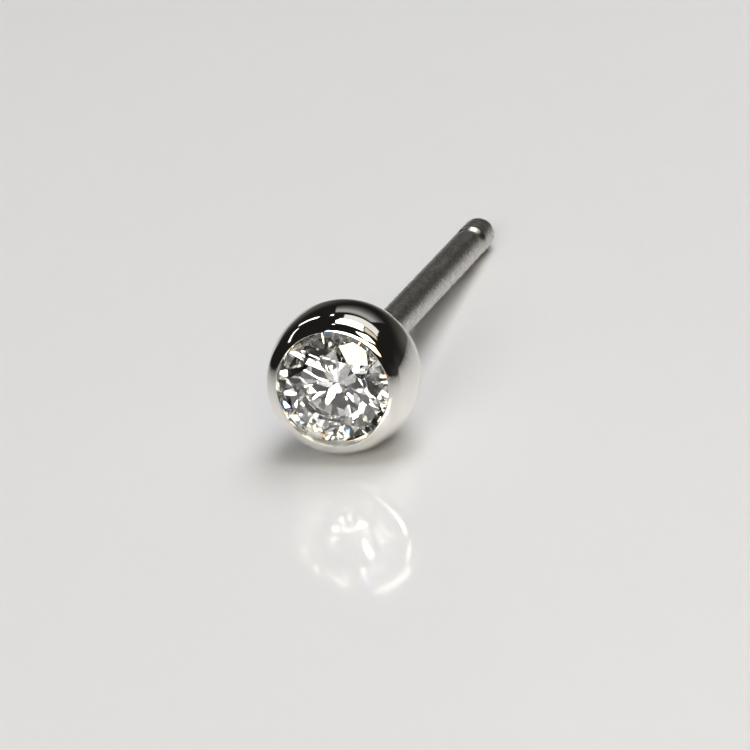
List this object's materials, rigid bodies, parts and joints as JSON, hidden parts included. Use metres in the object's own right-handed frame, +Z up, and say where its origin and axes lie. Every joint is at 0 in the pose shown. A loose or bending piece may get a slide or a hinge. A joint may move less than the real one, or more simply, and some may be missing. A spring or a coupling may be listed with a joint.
{
  "type": "stud earring",
  "caption": "Round bezel-set stud earring: a polished white metal cup holding a clear round brilliant, on a straight notched ear post.",
  "frame": {"origin": "middle of the box around the earring, on the surface that it lies on", "axes": "+Z up, -Y towards the stone's side, +Y along the post towards its tip, +X to the right seen from the stone's side"},
  "size_m": [0.0036, 0.014, 0.0035],
  "materials": {
    "white_gold": "mirror polished white gold",
    "stone": "cut and polished clear stone"
  },
  "bodies": {
    "root": {"bezel_with_post": "white_gold", "stone": "stone"}
  },
  "joints": []
}
